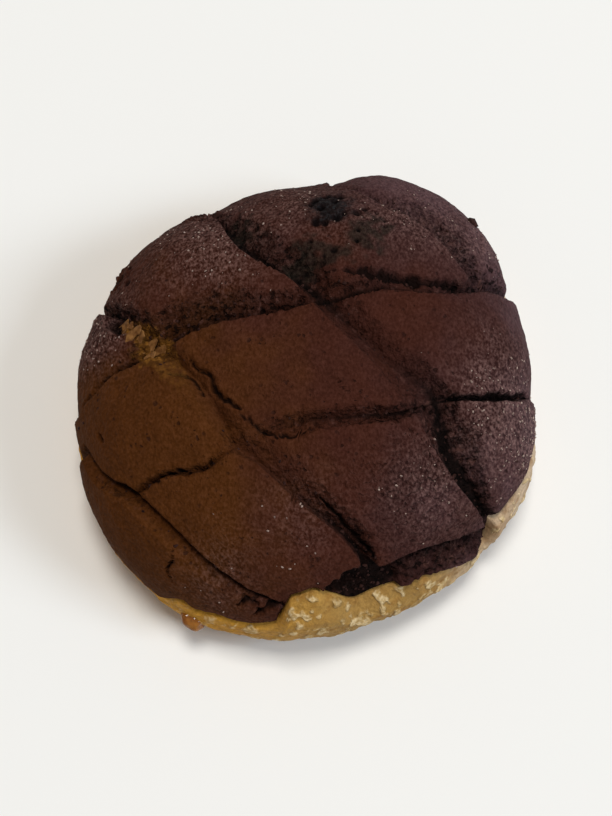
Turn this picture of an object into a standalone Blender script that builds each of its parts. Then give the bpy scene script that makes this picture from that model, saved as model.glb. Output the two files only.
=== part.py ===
"""A melon pan bun: a round of bread with a scored chocolate cookie crust baked over it.

Metres, +Z up. The bun stands on its flat foot at z = 0, with the origin under the middle of its box and
its front, where most bread shows below the crust, towards -Y.

The whole bun lies inside one smooth envelope. A place on it is a turn, in degrees down from the crown
(90 is the waist, 180 the foot), and a bearing about Z. The crust hangs inwards from the envelope, and the
bread fills what is left.
"""

import bmesh
import bpy
import numpy as np

MM = 0.001

# The envelope
BUN_HEIGHT = 46 * MM
WAIST_HEIGHT = 15 * MM
WAIST_RADIUS = 57.0 * MM
CENTRE = (0.4 * MM, -0.3 * MM, 0)  # shift that puts the origin under the middle of the bun's box
FOOT_SHARE = 0.80  # radius of the flat foot, as a share of the waist's
SQUARENESS = 2.25  # exponent of the superellipse that rounds the shoulders and the foot
OUTLINE = (  # waves that make the round uneven: how many round it, height, bearing of a crest
    (1, 0.6 * MM, 76),
    (2, 2.4 * MM, 52),
    (3, 0.8 * MM, 65),
    (4, 1.4 * MM, -31),
    (5, 0.5 * MM, -16),
)
FRONT_BEARING = -82.0
WAIST_TURN = 90.0
FOOT_TURN = 180.0

# The crust's lower edge, as (bearing, turn). It is lowest at the back and lifts at the front.
RIM = (
    (-136, 96), (-118, 82), (-99, 80), (-87, 65), (-66, 72), (-46, 91), (-38, 79), (-20, 79), (-8, 90), (10, 96),
    (40, 98), (140, 98),
)
RIM_SOFTENING = (-8, -4, 0, 4, 8)  # bearings on either side over which the edge is averaged

# The crust
CRUST_THICKNESS = 6.0 * MM
RIM_THICKNESS = 3.0 * MM
RIM_TAPER_FROM = 0.72  # share of the way to the rim where the crust starts to thin
LEAST_WALL = 1.2 * MM
PILLOW_RISE = 1.6 * MM  # how far a panel's middle stands above its edges
PILLOW_REACH = 8.0 * MM
SCORE_DEPTH = 3.6 * MM
SCORE_REACH = 3.0 * MM

# The scores, each a smooth line seen from above, as (x, y) in millimetres
SCORES = {
    "slant_far": ((6, 52), (19, 43), (31, 34), (39, 24), (48, 22)),
    "slant_main": ((-25, 45), (-13, 32), (2, 16), (20, -2), (32, -15), (42, -33)),
    "slant_near": ((-50, 19), (-35, 4), (-20, -13), (-2, -33), (16, -50)),
    "slant_low": ((-53, -16), (-38, -31), (-24, -42), (-6, -53)),
    "cross_back": ((-54, -3), (-34, 4), (-8, 11), (17, 19), (48, 23)),
    "cross_middle": ((-39, -29), (-21, -25), (-6, -17), (17, -14), (40, -7), (54, -1)),
    "cross_front": ((5, -53), (14, -47), (27, -41), (43, -34)),
}
SCORE_STEPS = 24  # points read from the spline between two of a score's own points
RIM_REACH = 0.85  # a score that ends past this share of the waist's radius runs on over the rim
RUN_OFF_TURN = 125.0

# The bread
CRUST_GAP = 0.4 * MM
BREAD_BULGE = 1.0 * MM  # how far the bread swells out below the crust's edge, at the front
BULGE_WIDTH = 75.0
LEDGE_TURNS = (1.2, 1.8, 5.0)  # below the rim: under the crust, where the swell starts, and where it is full
LEDGE_SHARES = (-1.0, -0.4, 1.0)  # of the rim's inset where below 0, and of the swell where above

# Facets
CRUST_CELLS = 52
UNDERSIDE_STRIDE = 2
BREAD_SEGMENTS = 56
COVERED_RINGS = 11
SIDE_RINGS = 8

COCOA = (0.055, 0.027, 0.021, 1)
BAKED_DOUGH = (0.40, 0.22, 0.07, 1)


def outline_radius(bearing):
    """The envelope's radius at the waist."""
    radius = np.full(np.shape(bearing), WAIST_RADIUS)
    for count, height, crest in OUTLINE:
        radius = radius + height * np.cos(count * (bearing - np.radians(crest)))
    return radius


def envelope(turn, bearing):
    """Points on the envelope, for turns in degrees and bearings in radians."""
    power = 2 / SQUARENESS
    above = np.radians(np.clip(turn, 0, WAIST_TURN))
    below = np.radians(np.clip(turn - WAIST_TURN, 0, FOOT_TURN - WAIST_TURN))
    upper = turn <= WAIST_TURN
    spread = np.where(
        upper,
        np.sin(above) ** power,
        FOOT_SHARE + (1 - FOOT_SHARE) * np.abs(np.cos(below)) ** power,
    )
    height = np.where(
        upper,
        WAIST_HEIGHT + (BUN_HEIGHT - WAIST_HEIGHT) * np.abs(np.cos(above)) ** power,
        WAIST_HEIGHT * (1 - np.sin(below) ** power),
    )
    reach = spread * outline_radius(bearing)
    return np.stack([reach * np.cos(bearing), reach * np.sin(bearing), height], axis=-1)


def envelope_normal(turn, bearing):
    """Outward unit normals of the envelope, from points close on either side."""
    step = 0.5
    turn = np.clip(turn, 2 * step, FOOT_TURN - 2 * step)
    down = envelope(turn + step, bearing) - envelope(turn - step, bearing)
    turn_step = np.radians(step)
    round_ = envelope(turn, bearing + turn_step) - envelope(turn, bearing - turn_step)
    normal = np.cross(down, round_)
    return normal / np.linalg.norm(normal, axis=-1, keepdims=True)


def from_front(bearing):
    """Degrees round from the front, from 0 to 180."""
    away = np.degrees(bearing) - FRONT_BEARING
    return np.abs((away + 180) % 360 - 180)


def rim_turn(bearing):
    """Where the crust ends, in degrees down from the crown."""
    places, turns = np.array(RIM, float).T
    over = np.concatenate([places - 360, places, places + 360])
    angle = np.degrees(bearing)
    return np.mean([np.interp(angle + shift, over, np.tile(turns, 3)) for shift in RIM_SOFTENING], axis=0)


def crust_depth(share):
    """Depth of the crust's underside below the envelope, at a share of the way from crown to rim."""
    taper = np.clip((share - RIM_TAPER_FROM) / (1 - RIM_TAPER_FROM), 0, 1)
    return CRUST_THICKNESS + (RIM_THICKNESS - CRUST_THICKNESS) * taper**2


def spline(points, steps):
    """A Catmull-Rom curve through the points."""
    points = np.array([2 * points[0] - points[1], *points, 2 * points[-1] - points[-2]])
    t = np.linspace(0, 1, steps, endpoint=False)[:, None]
    runs = []
    for before, start, end, after in zip(points, points[1:], points[2:], points[3:]):
        bend = 2 * before - 5 * start + 4 * end - after
        twist = -before + 3 * start - 3 * end + after
        runs.append(start + 0.5 * t * (end - before + t * (bend + t * twist)))
    return np.vstack([*runs, points[-2:-1]])


def on_envelope(x, y):
    """Turn and bearing of the envelope's point above a plan position inside the waist."""
    bearing = np.arctan2(y, x)
    reach = np.hypot(x, y) / outline_radius(bearing)
    turn = np.degrees(np.arcsin(np.clip(reach, 0, 1) ** (SQUARENESS / 2)))
    return turn, bearing, reach


def score_line(plan_points):
    """A score's points on the envelope, run on down over the rim where it reaches the edge."""
    curve = spline(np.array(plan_points, float) * MM, SCORE_STEPS)
    turn, bearing, reach = on_envelope(curve[:, 0], curve[:, 1])
    for end in (0, -1):
        if reach[end] < RIM_REACH:
            continue
        tail = np.linspace(turn[end], RUN_OFF_TURN, SCORE_STEPS)
        pieces = [turn, tail] if end else [tail[::-1], turn]
        held = np.full(SCORE_STEPS, bearing[end])
        turn = np.concatenate(pieces)
        bearing = np.concatenate([bearing, held] if end else [held, bearing])
    return envelope(turn, bearing)


def distance_to_scores(points):
    """How far each point is from the nearest score."""
    line = np.vstack([score_line(plan) for plan in SCORES.values()])
    return np.linalg.norm(points[:, None] - line[None], axis=-1).min(axis=1)


def disc_grid(cells):
    """A square grid mapped to a disc: each point's share of the radius and bearing, and the faces."""
    side = np.linspace(-1, 1, cells + 1)
    a, b = (grid.ravel() for grid in np.meshgrid(side, side))
    wide = np.abs(a) >= np.abs(b)
    share = np.where(wide, np.abs(a), np.abs(b))
    longer = np.where(share > 0, np.where(wide, a, b), 1)
    quarter = np.pi / 4 * np.where(wide, b, a) / longer
    bearing = np.where(wide, quarter, np.pi / 2 - quarter) + np.pi * (longer < 0)
    index = np.arange((cells + 1) ** 2).reshape(cells + 1, cells + 1)
    corners = (index[:-1, :-1], index[:-1, 1:], index[1:, 1:], index[1:, :-1])
    return share, bearing, np.stack(corners, axis=-1).reshape(-1, 4), index


def border(index):
    """The grid's outer points, in order round it."""
    return np.concatenate([index[0, :-1], index[:-1, -1], index[-1, :0:-1], index[:0:-1, 0]])


def crust_surface(share, bearing):
    """The crust's outer face, puffed panels with a score between them, and its depth at each point."""
    turn = share * rim_turn(bearing)
    points = envelope(turn, bearing)
    gap = distance_to_scores(points)
    sag = PILLOW_RISE * np.exp(-((gap / PILLOW_REACH) ** 2))
    cut = SCORE_DEPTH * np.exp(-((gap / SCORE_REACH) ** 2))
    depth = np.minimum(sag + cut, crust_depth(share) - LEAST_WALL)
    return points - envelope_normal(turn, bearing) * depth[:, None], depth


def crust_underside(share, bearing):
    turn = share * rim_turn(bearing)
    depth = crust_depth(share)[:, None]
    return envelope(turn, bearing) - envelope_normal(turn, bearing) * depth


def split_along_scores(faces, depth):
    """Two triangles for each four-sided face, split on the diagonal that stays at a more even depth."""
    first, second, third, fourth = depth[faces].T
    even = np.abs(first - third) < np.abs(second - fourth)
    turned = np.where(even[:, None], faces, np.roll(faces, 1, axis=1))
    return np.vstack([turned[:, [0, 1, 2]], turned[:, [0, 2, 3]]])


def rim_faces(outer, inner):
    """Triangles that join the outer border to an inner one with half as many points."""
    faces = []
    for j, start in enumerate(inner):
        end = inner[(j + 1) % len(inner)]
        first, middle = outer[2 * j], outer[2 * j + 1]
        last = outer[(2 * j + 2) % len(outer)]
        faces += [(first, middle, start), (middle, end, start), (middle, last, end)]
    return faces


def make_object(name, points, faces, material):
    """An object of these points and faces, closed and facing out."""
    mesh = bpy.data.meshes.new(name)
    mesh.from_pydata((points + np.array(CENTRE)).tolist(), [], [tuple(map(int, f)) for f in faces])
    shape = bmesh.new()
    shape.from_mesh(mesh)
    bmesh.ops.recalc_face_normals(shape, faces=shape.faces)
    shape.to_mesh(mesh)
    shape.free()
    mesh.shade_smooth()
    mesh.materials.append(material)
    made = bpy.data.objects.new(name, mesh)
    bpy.context.scene.collection.objects.link(made)
    return made


def make_material(name, colour, roughness):
    material = bpy.data.materials.new(name)
    material.use_nodes = True
    shader = material.node_tree.nodes["Principled BSDF"]
    shader.inputs["Base Color"].default_value = colour
    shader.inputs["Roughness"].default_value = roughness
    shader.inputs["Metallic"].default_value = 0.0
    return material


def cookie_crust():
    """The crust: a dome of even cookie dough, open below, scored into slanting panels."""
    share, bearing, faces, index = disc_grid(CRUST_CELLS)
    inside = index[::UNDERSIDE_STRIDE, ::UNDERSIDE_STRIDE].ravel()
    _, _, inner_faces, inner_index = disc_grid(CRUST_CELLS // UNDERSIDE_STRIDE)
    outer, depth = crust_surface(share, bearing)
    points = np.vstack([outer, crust_underside(share[inside], bearing[inside])])
    below = len(share)
    closing = rim_faces(border(index), border(inner_index) + below)
    everything = [*split_along_scores(faces, depth), *(inner_faces + below), *closing]
    return make_object("cookie_crust", points, everything, make_material("cookie_crust", COCOA, 0.8))


def bread_rings():
    """The bread's turns and insets, ring by ring from under the crown to the foot, one column a bearing."""
    bearing = np.linspace(0, 2 * np.pi, BREAD_SEGMENTS, endpoint=False)
    rim = rim_turn(bearing)
    swell = BREAD_BULGE * np.exp(-((from_front(bearing) / BULGE_WIDTH) ** 2))
    inset = RIM_THICKNESS + CRUST_GAP
    rings = []
    for share in np.linspace(1 / COVERED_RINGS, 1, COVERED_RINGS):
        rings.append((share * rim, -(crust_depth(share) + CRUST_GAP) + 0 * rim))
    for down, part in zip(LEDGE_TURNS, LEDGE_SHARES):
        rings.append((rim + down, inset * part + 0 * rim if part < 0 else swell * part))
    start = rim + LEDGE_TURNS[-1]
    for share in np.linspace(0, 1, SIDE_RINGS + 1)[1:]:
        turn = start + (FOOT_TURN - start) * share
        rings.append((turn, swell * np.cos(share * np.pi / 2)))
    return bearing, rings


def bread_bun():
    """The bread: a flat-footed round that fills the crust and swells out below its edge."""
    bearing, rings = bread_rings()
    crown = np.array([[0, 0, BUN_HEIGHT - CRUST_THICKNESS - CRUST_GAP]])
    levels = [crown]
    for turn, offset in rings:
        normal = envelope_normal(turn, bearing)
        levels.append(envelope(turn, bearing) + normal * offset[:, None])
    levels[-1][:, 2] = 0.0
    count = BREAD_SEGMENTS
    ring_start = [1 + level * count for level in range(len(rings))]
    after = [(s + 1) % count for s in range(count)]
    faces = [(0, 1 + s, 1 + after[s]) for s in range(count)]
    for top, low in zip(ring_start, ring_start[1:]):
        faces += [(top + s, low + s, low + after[s], top + after[s]) for s in range(count)]
    faces.append(range(ring_start[-1], ring_start[-1] + count))
    return make_object("bread_bun", np.vstack(levels), faces, make_material("bread", BAKED_DOUGH, 0.6))


def main():
    for old in list(bpy.data.objects):
        bpy.data.objects.remove(old)
    bread_bun()
    cookie_crust()


main()
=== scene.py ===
"""The looks of a chocolate melon pan bun: baked bread under a dark, scored and cracked cookie crust.

Lengths are in millimetres and angles in degrees until a mesh is made, and every length is scaled by the
frame's box. A place on the bun is a turn, down from the crown (90 is the waist, 180 the foot), and a
bearing about Z. The front, towards -Y, shows most bread.
"""

import bmesh
import bpy
import numpy as np
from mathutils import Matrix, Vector, noise


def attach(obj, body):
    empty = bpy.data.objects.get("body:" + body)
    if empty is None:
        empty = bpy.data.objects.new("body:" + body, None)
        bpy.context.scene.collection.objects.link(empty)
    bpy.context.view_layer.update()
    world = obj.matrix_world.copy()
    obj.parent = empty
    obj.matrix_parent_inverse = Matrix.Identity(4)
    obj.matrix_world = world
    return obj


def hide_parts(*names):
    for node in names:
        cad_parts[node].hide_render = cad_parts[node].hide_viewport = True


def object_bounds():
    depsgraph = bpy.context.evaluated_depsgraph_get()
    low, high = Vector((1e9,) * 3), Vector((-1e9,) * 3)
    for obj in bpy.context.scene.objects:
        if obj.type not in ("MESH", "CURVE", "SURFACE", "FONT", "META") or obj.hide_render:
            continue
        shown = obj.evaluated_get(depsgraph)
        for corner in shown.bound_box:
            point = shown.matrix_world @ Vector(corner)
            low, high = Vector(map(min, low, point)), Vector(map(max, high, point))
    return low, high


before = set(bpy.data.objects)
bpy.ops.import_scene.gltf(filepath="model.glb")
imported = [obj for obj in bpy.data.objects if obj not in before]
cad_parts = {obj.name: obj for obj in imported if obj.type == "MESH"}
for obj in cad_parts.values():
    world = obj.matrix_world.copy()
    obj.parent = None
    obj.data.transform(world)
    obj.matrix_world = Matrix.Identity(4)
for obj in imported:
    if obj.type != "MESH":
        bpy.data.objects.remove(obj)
CAD_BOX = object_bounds()
MODEL_DEPTH = 116.081
UNIT = (CAD_BOX[1].y - CAD_BOX[0].y) / MODEL_DEPTH  # metres for each millimetre of the sizes below

# The envelope that the whole bun lies in, as in the frame's model
CENTRE = (0.4, -0.3, 0)
BUN_HEIGHT = 46
WAIST_HEIGHT = 15
WAIST_RADIUS = 57.0
FOOT_SHARE = 0.80
SQUARENESS = 2.25
OUTLINE = ((1, 0.6, 76), (2, 2.4, 52), (3, 0.8, 65), (4, 1.4, -31), (5, 0.5, -16))
FRONT_BEARING = -82
WAIST_TURN = 90
FOOT_TURN = 180

# The crust's lower edge as (bearing, turn)
RIM = (
    (-160, 99), (-138, 98), (-129, 97), (-127, 95), (-123.5, 89), (-120, 81), (-118, 81.5), (-116.2, 84),
    (-113.5, 83), (-110, 81), (-107.5, 82), (-104, 82.5), (-100.8, 81.4), (-98, 80.4), (-96.2, 79.2),
    (-95.5, 76), (-94.9, 66.5), (-92.2, 64.3), (-88, 63), (-86.2, 65), (-85, 68.2), (-81.8, 71.4),
    (-80, 75.4), (-78, 78), (-75.5, 77), (-73.5, 76), (-70, 76), (-66.5, 77.4), (-63.6, 78.6),
    (-62, 77), (-59.5, 79), (-53.8, 83.2), (-48.5, 87.5), (-45, 91.5), (-42, 97), (-38.8, 97),
    (-38, 89), (-37.6, 79), (-37, 78.5), (-34.8, 79), (-33, 79.6), (-31.5, 78.4), (-28.5, 77.2),
    (-24, 77.6), (-19, 78.6), (-16, 80.5), (-13, 84.5), (-9, 89), (-4, 93), (2, 96), (50, 99), (110, 98),
    (170, 99),
)
RIM_SOFTENING = (-0.8, 0, 0.8)

# The crust
CRUST_CELLS = 300
UNDERSIDE_STRIDE = 4
CRUST_THICKNESS = 6.0
RIM_THICKNESS = 4.2
RIM_TAPER_FROM = 0.85
LEAST_WALL = 0.9
RIM_ROUND = 1.5
RUN_OFF_TURN = 125
RIM_REACH = 0.85

# Each score as rows of x, y, width of its front and back walls, depth, and how crumbly it is. It is
# deepest on the line through the rows. A narrow wall is a crisp lip, and a wide one a slope.
SCORES = {
    "slant_far": (
        (5, 53, 0.6, 2, 0.5, 0.3), (11.6, 47.6, 0.5, 3.5, 2.4, 0.5), (18, 42.5, 0.5, 8, 4, 0.6),
        (22.6, 40.2, 0.5, 9.5, 4.6, 0.65), (26.8, 37, 0.5, 10, 5, 0.65), (30.2, 33.6, 0.5, 10.5, 5.4, 0.65),
        (33.8, 30, 0.6, 10.5, 5.6, 0.7), (37, 26.6, 0.7, 9.5, 5.6, 0.9), (40.2, 24, 1, 7, 5.6, 1),
        (44, 22.8, 1.2, 5, 5.2, 1), (49, 22.8, 1.2, 4, 5.2, 1),
    ),
    "slant_main": (
        (-26, 45.3, 0.8, 2.5, 0.8, 0.9), (-23.2, 42.6, 0.6, 4, 3, 0.9), (-20.4, 38.3, 0.6, 8, 4.6, 1),
        (-18.2, 33.2, 0.6, 10, 5.2, 1), (-14.5, 28, 0.8, 10.5, 5.2, 1), (-8.5, 23.8, 1, 10, 5.2, 1),
        (-2, 20.8, 2, 9, 4.8, 1), (6, 12.5, 3.6, 7.5, 4.2, 0.6), (14, 4.6, 4, 5.5, 4.2, 0.3),
        (18.5, 0.6, 4.6, 5.5, 4.4, 0.3), (23.5, -2.6, 7, 5, 4.6, 0.4), (28.8, -6, 9, 3.5, 4.8, 0.6),
        (30.8, -10.2, 9, 5, 4.8, 0.9), (30.9, -14.6, 6, 8, 5, 0.9), (32.2, -20.6, 3.5, 10.5, 5.2, 0.9),
        (35.6, -26.9, 2, 9, 5.2, 0.9), (41, -32, 1.6, 4, 5.2, 1), (44, -35, 1, 3, 5.2, 1),
    ),
    "slant_near": (
        (-50, 19.5, 1, 3, 4.5, 1), (-45, 14.5, 1, 5, 4.8, 1), (-40, 10, 1.5, 6, 4.6, 1),
        (-35, 4.5, 3, 4, 3.4, 0.7), (-30, -0.5, 3.5, 4, 2.6, 0.2), (-24.5, -6, 3.5, 4, 2.6, 0.1),
        (-20, -14, 3, 4, 2.8, 0.1), (-15.8, -21.5, 1, 6.5, 3, 0.2), (-10.6, -24.9, 0.6, 7, 3.2, 0.2),
        (-2, -32.6, 0.6, 7, 3.6, 0.3), (9, -41, 0.7, 5.5, 4.4, 0.8), (13.4, -46.2, 0.8, 4, 5, 1),
        (15, -48.4, 0.7, 2.5, 3, 1), (16.4, -50.4, 0.6, 1.5, 0.3, 0.6),
    ),
    "slant_low": (
        (-53, -16, 2, 1.6, 3, 0.2), (-49, -22, 2.6, 1.2, 3, 0.2), (-45.5, -25.6, 2.6, 1.2, 3.2, 0.5),
        (-41, -28.6, 2.6, 1.4, 3.4, 0.6), (-37.8, -31.4, 3, 1.2, 3.4, 0.3),
        (-29.6, -38.9, 3.5, 1, 3.4, 0.2), (-24.9, -43.3, 3.5, 1, 3.4, 0.3),
        (-19.2, -47.9, 3.2, 0.9, 3.4, 0.4), (-13.6, -51.2, 2.6, 0.8, 3.2, 0.6),
        (-9.5, -52.7, 1.8, 0.8, 2.6, 0.8), (-5.6, -54, 1, 0.8, 1.4, 0.9),
    ),
    "cross_back": (
        (-54.5, -6.8, 0.7, 1.6, 2.2, 0.7), (-52.6, -5.5, 0.7, 1.8, 2.4, 0.8),
        (-50.7, -4.3, 0.7, 2, 2.6, 0.8), (-48, -2.5, 0.7, 2, 2.4, 0.8), (-45.2, -0.5, 0.8, 2.4, 1.8, 0.7),
        (-41.8, 0.9, 1.2, 4.5, 2, 0.7), (-38, 2.6, 1.5, 8, 3, 0.9), (-34, 4.4, 1.5, 10.5, 4.2, 1),
        (-27.4, 7.2, 0.9, 12.5, 4.9, 1), (-17, 9.6, 0.7, 10, 4.9, 1), (-8, 11, 0.7, 7, 4.6, 1),
        (0, 13.4, 0.8, 6, 4.2, 0.9), (9, 15.8, 1, 6, 3.6, 0.8), (17, 17.6, 0.8, 4.5, 2.2, 0.7),
        (26, 17.5, 0.8, 4, 2.2, 0.75), (34, 18.4, 0.8, 3.6, 2.8, 0.8), (41, 20.9, 0.9, 4, 4.6, 1),
        (45, 22, 1.1, 5, 5.4, 1), (49, 22.6, 1.2, 5, 5.4, 1),
    ),
    "cross_middle": (
        (-38.5, -29, 0.8, 1.6, 2.4, 0.4), (-33, -26.5, 0.6, 1.4, 2, 0.55), (-26, -26.4, 0.6, 1.6, 2, 0.55),
        (-21.5, -25.2, 0.6, 1.8, 1.8, 0.5), (-16.5, -21.5, 0.8, 2.5, 0.5, 0.4),
        (-9, -17.6, 1.2, 3, 1.4, 0.4), (-3.7, -15.9, 2.6, 2.6, 2.2, 0.45),
        (-0.3, -14.9, 3.4, 2.6, 2.4, 0.5), (5.7, -14.4, 3.2, 2.6, 2.5, 0.55),
        (11.7, -13.8, 2.8, 2.6, 2.8, 0.65), (17.5, -13.3, 2.4, 2.4, 3.2, 0.8),
        (22, -12.6, 2, 2.2, 2.6, 0.8), (27.5, -10.4, 1, 2, 1.6, 0.6), (32.1, -8.7, 0.9, 1.1, 3, 1),
        (35.9, -8, 0.9, 1.1, 3.4, 1), (40.9, -7.4, 1, 1.1, 3.4, 1), (45.5, -6, 0.9, 1.1, 3.4, 1),
        (49.2, -5.2, 0.9, 1, 3.2, 1), (52.7, -2.9, 0.8, 0.9, 3, 1),
    ),
    "cross_front": (
        (5, -51, 1.2, 1.5, 2.6, 0.9), (9, -49.8, 2, 2, 4, 1), (13.5, -47.8, 4, 1.6, 4.6, 1),
        (19, -45.7, 7, 1.2, 4.4, 1), (25, -42.7, 9, 1, 4, 1), (33, -39.8, 9, 1, 3.8, 1),
        (40, -36.3, 8, 1, 3.8, 1), (43, -33.6, 6, 1, 3.8, 1),
    ),
}
SCORE_STEPS = 20
BATCH = 20000  # how many points are compared with a line at a time

# Cracks in the panels and in the scores, each with a half-width, a depth, how jagged it is, and its line
CRACKS = (
    (0.60, 1.7, 0.6, (
        (-27.3, 1.6), (-27.1, 0.6), (-25, -2.5), (-22.2, -4.1), (-20.6, -8), (-15.6, -12.6), (-12, -16),
        (-8.6, -18.3), (-4.8, -19), (-0.7, -18.5),
    )),
    (0.40, 1.1, 0.4, ((-35, -2.5), (-30, -3.4), (-27, -4.2), (-24.5, -7.4), (-23.2, -10))),
    (0.70, 1.4, 0.6, ((3, -32.4), (5.7, -35.2), (9.5, -38.9), (13.5, -42.4), (15.5, -44.5))),
    (0.55, 1.8, 0.2, ((-48.3, -14.1), (-47.6, -15.5), (-46.7, -16.8))),
    (0.32, 1.4, 0.6, ((-30.3, -41.7), (-30.4, -43.7), (-31.5, -45), (-31, -46.3), (-30.6, -47.6))),
    (0.95, 1.4, 0.9, ((32.1, -8.2), (35.9, -7.5), (40.9, -6.9), (45.5, -5.5), (49.2, -4.5), (52.7, -2.2))),
    (0.42, 1.4, 1.2, ((-36.5, -28.3), (-33, -26.6), (-29.5, -26.4), (-26, -26.2), (-21.5, -25))),
    (1.5, 1.5, 1, ((32.4, -14), (33.8, -20.2), (37.4, -26.4), (41, -30), (43.8, -33.2))),
    (0.7, 1.3, 1, (
        (16.8, 45), (23.4, 41.1), (27.8, 37.8), (31.2, 34.5), (34.8, 30.8), (38, 27.6), (40.8, 25),
    )),
    (0.9, 1.3, 1, ((-21.8, 42.6), (-18.2, 38), (-15.8, 33), (-11.8, 28.4), (-7, 24.6))),
    (0.6, 1.5, 0.9, ((-15.4, -53.2), (-13.9, -52.8), (-12.4, -53.2), (-11, -53.4))),
    (0.7, 2, 0.9, ((-12, -54.7), (-10.9, -54.3), (-9.6, -54), (-6.6, -53.8))),
    (1.25, 2.2, 0.9, (
        (6, 22.4), (11.3, 21.9), (16.8, 21.1), (22.1, 20.6), (28.9, 20.5), (32.5, 20.4), (38, 20.9),
    )),
)

# Hollows as x, y, half-length, half-width, how far turned from the x axis, and depth
HOLLOWS = (
    (13.2, -50, 8.4, 3.8, 14, 4),
    (-45.3, 12.4, 3.2, 1.8, -45, 3),
)

# Soft dips, as x, y, radius and depth
DIPS = ((1.5, 52, 9, 1.7),)

# Places with a broken or a leathery surface, as x, y, radius and how much
ROUGH_SPOTS = (
    (-47.2, 25.6, 4, 0.4), (-45, 29.5, 4, 0.4), (-28, 43.5, 4, 0.7), (0, 25, 6, 0.6), (46, 27, 4, 0.9),
    (26, -12, 4, 0.6), (-44, 10, 3, 0.45), (-22, 42, 3, 0.8),
)
LEATHER_SPOTS = ((26, -31, 14, 1), (35, -20, 8, 0.5), (12, -30, 8, 0.4), (46, -12, 8, 0.3))

WALL_CURVE = 1.3  # above 1, a wide wall is steeper towards its foot
LIP_CURVE = 0.75  # below 1, the other wall is steepest at its lip
PILLOW_FRONT = 0.3  # how far a panel droops towards a crisp lip
PILLOW_BACK = 1.2  # and towards a wide wall
PILLOW_REACH = 6.5

# Noise as rows of height, size and seed
JAG_NOISE = ((0.55, 4.5, 1), (0.65, 1.9, 2))
CRUMB_NOISE = ((0.5, 2.4, 5), (0.4, 1.3, 3), (0.25, 0.9, 4))
SKIN_NOISE = ((0.5, 17, 6), (0.28, 7, 7), (0.15, 3, 8), (0.12, 1.5, 9))
BREAD_NOISE = ((0.5, 9, 31), (0.3, 3.5, 32), (0.16, 1.6, 33))
DOUGH_NOISE = ((0.9, 3.2, 35), (0.8, 1.6, 36), (0.3, 0.8, 37))

GATHER = 0.5  # how much closer together the mesh's points lie at a score
GATHER_REACH = 1.3

# Soft patches, as x, y, radius and how much greyer or, below 0, warmer; the grey is partly a painted sheen
TONE_AND_SHEEN_SPOTS = (
    (30, 14, 15, -0.36), (46, 8, 10, -0.25), (-50, 14, 9, 0.72), (24, -32, 11, 0.3), (-22, 36, 15, 0.2),
    (5, 33, 10, -0.15), (36, 38, 10, -0.25), (-20, -33, 12, -0.2), (-35, -40, 14, -0.15),
    (-32, -18, 12, -0.2),
)
# Soft patches, as x, y, radius and how frosted
FROST_SPOTS = (
    (-22, 33, 14, 1.1), (-2, 46, 9, 0.6), (24, 38, 10, 0.6), (40, 36, 10, 0.6), (-51, 13, 9, 1.6),
    (47, -12, 12, 1.3), (28, -30, 11, 0.6), (-1, -36, 9, 0.3), (-20, -48, 8, 0.35),
    (10, 36, 10, 0.4), (45, 4, 8, 0.4),
)
# Ragged patches, as x, y, half-width, half-height, how ragged and the seed of their edge
BURNT = ((5, 40.6, 5.6, 5.6, 0.35, 21),)
SCORCHED = (
    (11.9, 31.8, 3, 4.4, 0.5, 22), (0.3, 29.4, 4.2, 3.4, 0.9, 25), (6.6, 26.5, 4.6, 2.2, 1, 26),
    (-1.4, 24.4, 4.4, 3.2, 1, 27), (15.4, 31.5, 3.8, 4.6, 1.1, 28), (-17, 37.5, 3, 3, 1, 29),
)
# Bubbles that burst and charred, as x, y and radius
BUBBLES = (
    (4.6, 45.2, 1.2), (6.3, 44.9, 0.8), (7.9, 44.3, 1.3), (1.8, 43.2, 1.1), (1, 41.7, 0.8),
    (3.1, 40.4, 1.1), (6.6, 42.3, 0.9), (2, 36.1, 1.2), (4.3, 35.6, 0.9), (6.9, 36.7, 1.2),
    (8.7, 38.3, 0.9), (11.8, 38.3, 1), (13.6, 39.9, 0.9), (16.5, 38.4, 0.55), (18.4, 36.1, 0.55),
    (18.2, 34.2, 0.55), (12, 32.8, 0.7), (11.7, 29.7, 0.8), (0.7, 30.7, 0.7), (6.2, 27.7, 0.9),
    (3.9, 26.3, 0.6), (-0.5, 23, 0.8), (1.8, 20.8, 0.6), (-18.9, 38.8, 1), (-21.3, 41, 0.9),
    (-43.5, 24.5, 0.8), (-43.2, 29.3, 0.8),
)
BUBBLE_DEPTH = 0.8
# Where the bread shows through, as x, y, half-width and how clearly
TORN = (
    (-45, 14.5, 1.4, 0.5), (-42.4, 11.5, 2.2, 0.9), (-39.4, 8, 3.4, 1), (-37, 5.2, 4.2, 1),
    (-34.6, 2.6, 4, 0.9), (-32, -1, 2.8, 0.45), (-29, -5.5, 2, 0.15), (-26, -10, 1, 0),
)

# What lies on the crust, at places of x and y. Radii run from a least one up by as much as the second
# number, and a lift is a share of the radius.
SCATTER_SEED = 7
FULL_SPIN = 6.28  # radians
CRUMB_COUNT = 500
CRUMB_RADII = (0.2, 0.4)
CRUMB_LIFT = -0.1
CHIP_PLACES = (
    (47.6, 24.2), (48.8, 23.4), (40.4, 43.6), (-21.6, 43.6), (-49.2, 20.2), (-43.9, 27), (43.4, 23.4),
    (-22.6, 42.2),
)
CHIP_RADII = (0.9, 0.8, 1.6, 1, 1, 0.7, 0.7, 0.8)
SUGAR_COUNT = 600
SUGAR_RADII = (0.11, 0.22)
LARGE_SUGAR_RADIUS = 0.3
SUGAR_LIFT = 0.1
LARGE_SUGAR_PLACES = (
    (38.5, -13.9), (-35.8, 38.7), (-23.7, 23), (-1.5, -33.5), (-1.1, -34.1), (-8.5, -39.2), (28.5, -17.8),
    (39.8, -42.4), (-5.6, -46.2),
)
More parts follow.
